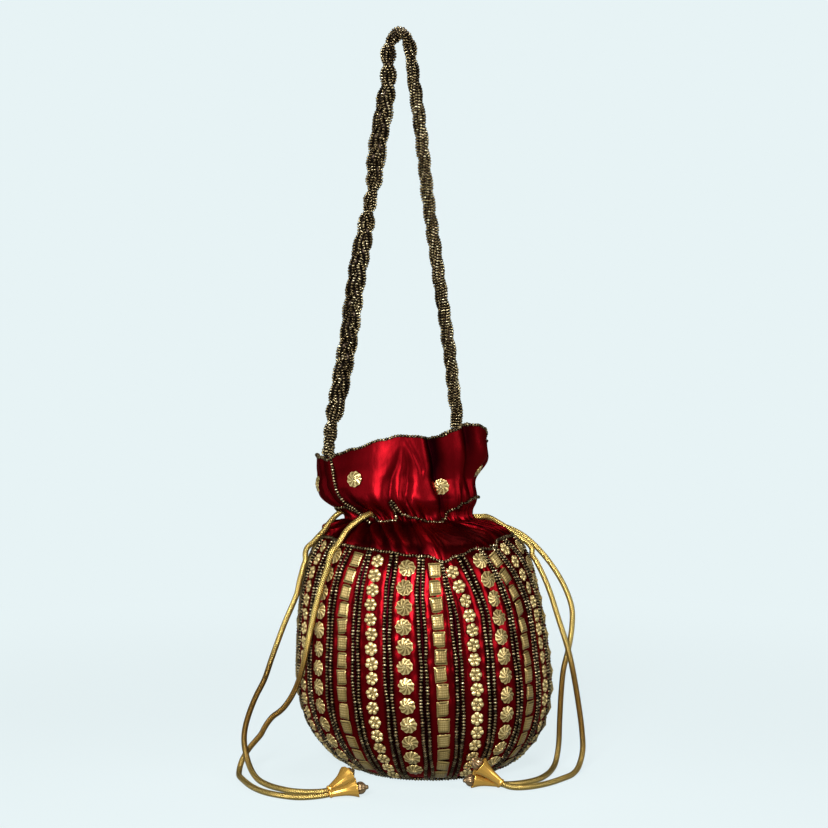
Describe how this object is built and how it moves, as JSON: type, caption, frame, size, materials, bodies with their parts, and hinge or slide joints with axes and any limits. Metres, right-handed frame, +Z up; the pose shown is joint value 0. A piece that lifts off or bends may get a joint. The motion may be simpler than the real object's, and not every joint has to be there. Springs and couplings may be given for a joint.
{
  "type": "potli bag",
  "caption": "Round drawstring pouch in satin with rows of sewn metal studs, a gathered collar, two drawstrings with trumpet end caps and a tall plaited bead handle.",
  "frame": {"origin": "centre of the bag's footprint on the surface it stands on, at the height of that surface", "axes": "+Z up along the drawn-up handle, -Y towards the front, +X to the front's right"},
  "size_m": [0.2385, 0.1924, 0.5158],
  "materials": {
    "satin": "crimson satin",
    "gold": "antique gold",
    "beads": "dark bronze seed beads",
    "cord": "gold metallic braid"
  },
  "bodies": {
    "root": {"pouch_panel": "satin", "base_disc": "satin", "collar": "satin", "pinwheel_column_01": "gold", "square_column_02": "gold", "flower_column_03": "gold", "pinwheel_column_04": "gold", "square_column_05": "gold", "flower_column_06": "gold", "pinwheel_column_07": "gold", "square_column_08": "gold", "flower_column_09": "gold", "pinwheel_column_10": "gold", "square_column_11": "gold", "flower_column_12": "gold", "pinwheel_column_13": "gold", "square_column_14": "gold", "flower_column_15": "gold", "pinwheel_column_16": "gold", "square_column_17": "gold", "flower_column_18": "gold", "pinwheel_column_19": "gold", "square_column_20": "gold", "flower_column_21": "gold", "pinwheel_column_22": "gold", "square_column_23": "gold", "flower_column_24": "gold", "collar_stud_1": "gold", "collar_stud_2": "gold", "collar_stud_3": "gold", "collar_stud_4": "gold", "collar_stud_5": "gold", "collar_stud_6": "gold", "rim_beads": "beads", "casing_beads": "beads", "seam_beads": "beads", "base_beads": "beads", "bead_handle": "beads", "drawstring_left_in_casing": "cord", "drawstring_right_in_casing": "cord", "drawstring_left_front_tail": "cord", "end_cap_left_front": "gold", "cap_bud_left_front": "gold", "drawstring_left_back_tail": "cord", "end_cap_left_back": "gold", "cap_bud_left_back": "gold", "drawstring_right_front_tail": "cord", "end_cap_right_front": "gold", "cap_bud_right_front": "gold", "drawstring_right_back_tail": "cord", "end_cap_right_back": "gold", "cap_bud_right_back": "gold"}
  },
  "joints": []
}
